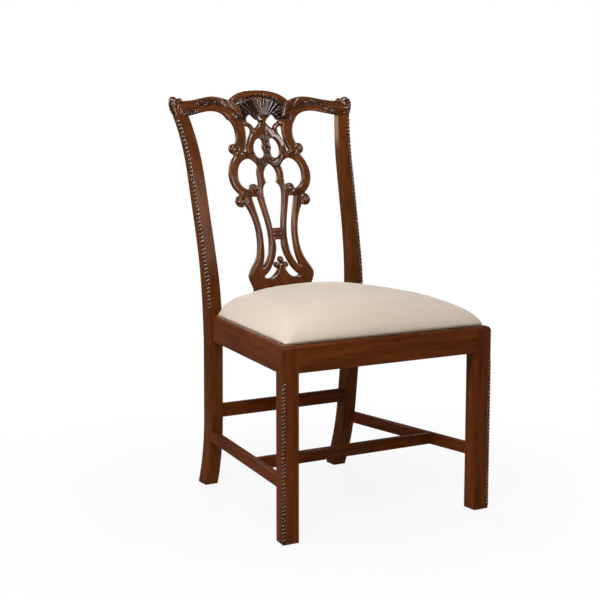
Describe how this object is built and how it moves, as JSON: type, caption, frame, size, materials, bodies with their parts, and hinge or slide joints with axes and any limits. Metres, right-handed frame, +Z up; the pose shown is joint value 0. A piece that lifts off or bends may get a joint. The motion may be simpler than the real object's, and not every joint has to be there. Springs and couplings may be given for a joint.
{
  "type": "side chair",
  "caption": "Carved wooden dining side chair with a pierced splat, bowed crest rail, square front legs, plain stretchers and a padded fabric drop-in seat.",
  "frame": {"origin": "on the floor, under the middle of the chair's overall width and depth", "axes": "+X to the right as seen from the front, -Y towards the front of the chair, +Z up"},
  "size_m": [0.562, 0.6308, 0.9875],
  "materials": {
    "mahogany": "satin",
    "frame_hardwood": "matte",
    "screw_steel": "satin",
    "jute_webbing": "matte",
    "hessian": "matte",
    "padding": "matte",
    "cream_fabric": "matte",
    "dust_cloth": "matte"
  },
  "bodies": {
    "frame": {"left_front_leg": "mahogany", "right_front_leg": "mahogany", "left_back_post": "mahogany", "right_back_post": "mahogany", "front_seat_rail": "mahogany", "left_seat_rail": "mahogany", "right_seat_rail": "mahogany", "rear_seat_rail": "mahogany", "crest_rail": "mahogany", "back_splat": "mahogany", "splat_shoe": "mahogany", "left_stretcher": "mahogany", "right_stretcher": "mahogany", "middle_stretcher": "mahogany", "rear_stretcher": "mahogany", "rear_seat_bearer": "frame_hardwood", "left_front_corner_block": "frame_hardwood", "right_front_corner_block": "frame_hardwood", "left_rear_corner_block": "frame_hardwood", "right_rear_corner_block": "frame_hardwood", "corner_block_screws": "screw_steel"},
    "slip_seat": {"seat_frame_front": "frame_hardwood", "seat_frame_rear": "frame_hardwood", "seat_frame_left": "frame_hardwood", "seat_frame_right": "frame_hardwood", "lengthwise_webbing": "jute_webbing", "crosswise_webbing": "jute_webbing", "seat_hessian": "hessian", "seat_pad": "padding", "seat_cover": "cream_fabric", "dust_cover": "dust_cloth"}
  },
  "joints": [
    {"name": "seat_lift", "type": "slide", "parent": "frame", "child": "slip_seat", "axis": [0, 0, 1], "range_m": [0, 0.12]}
  ]
}
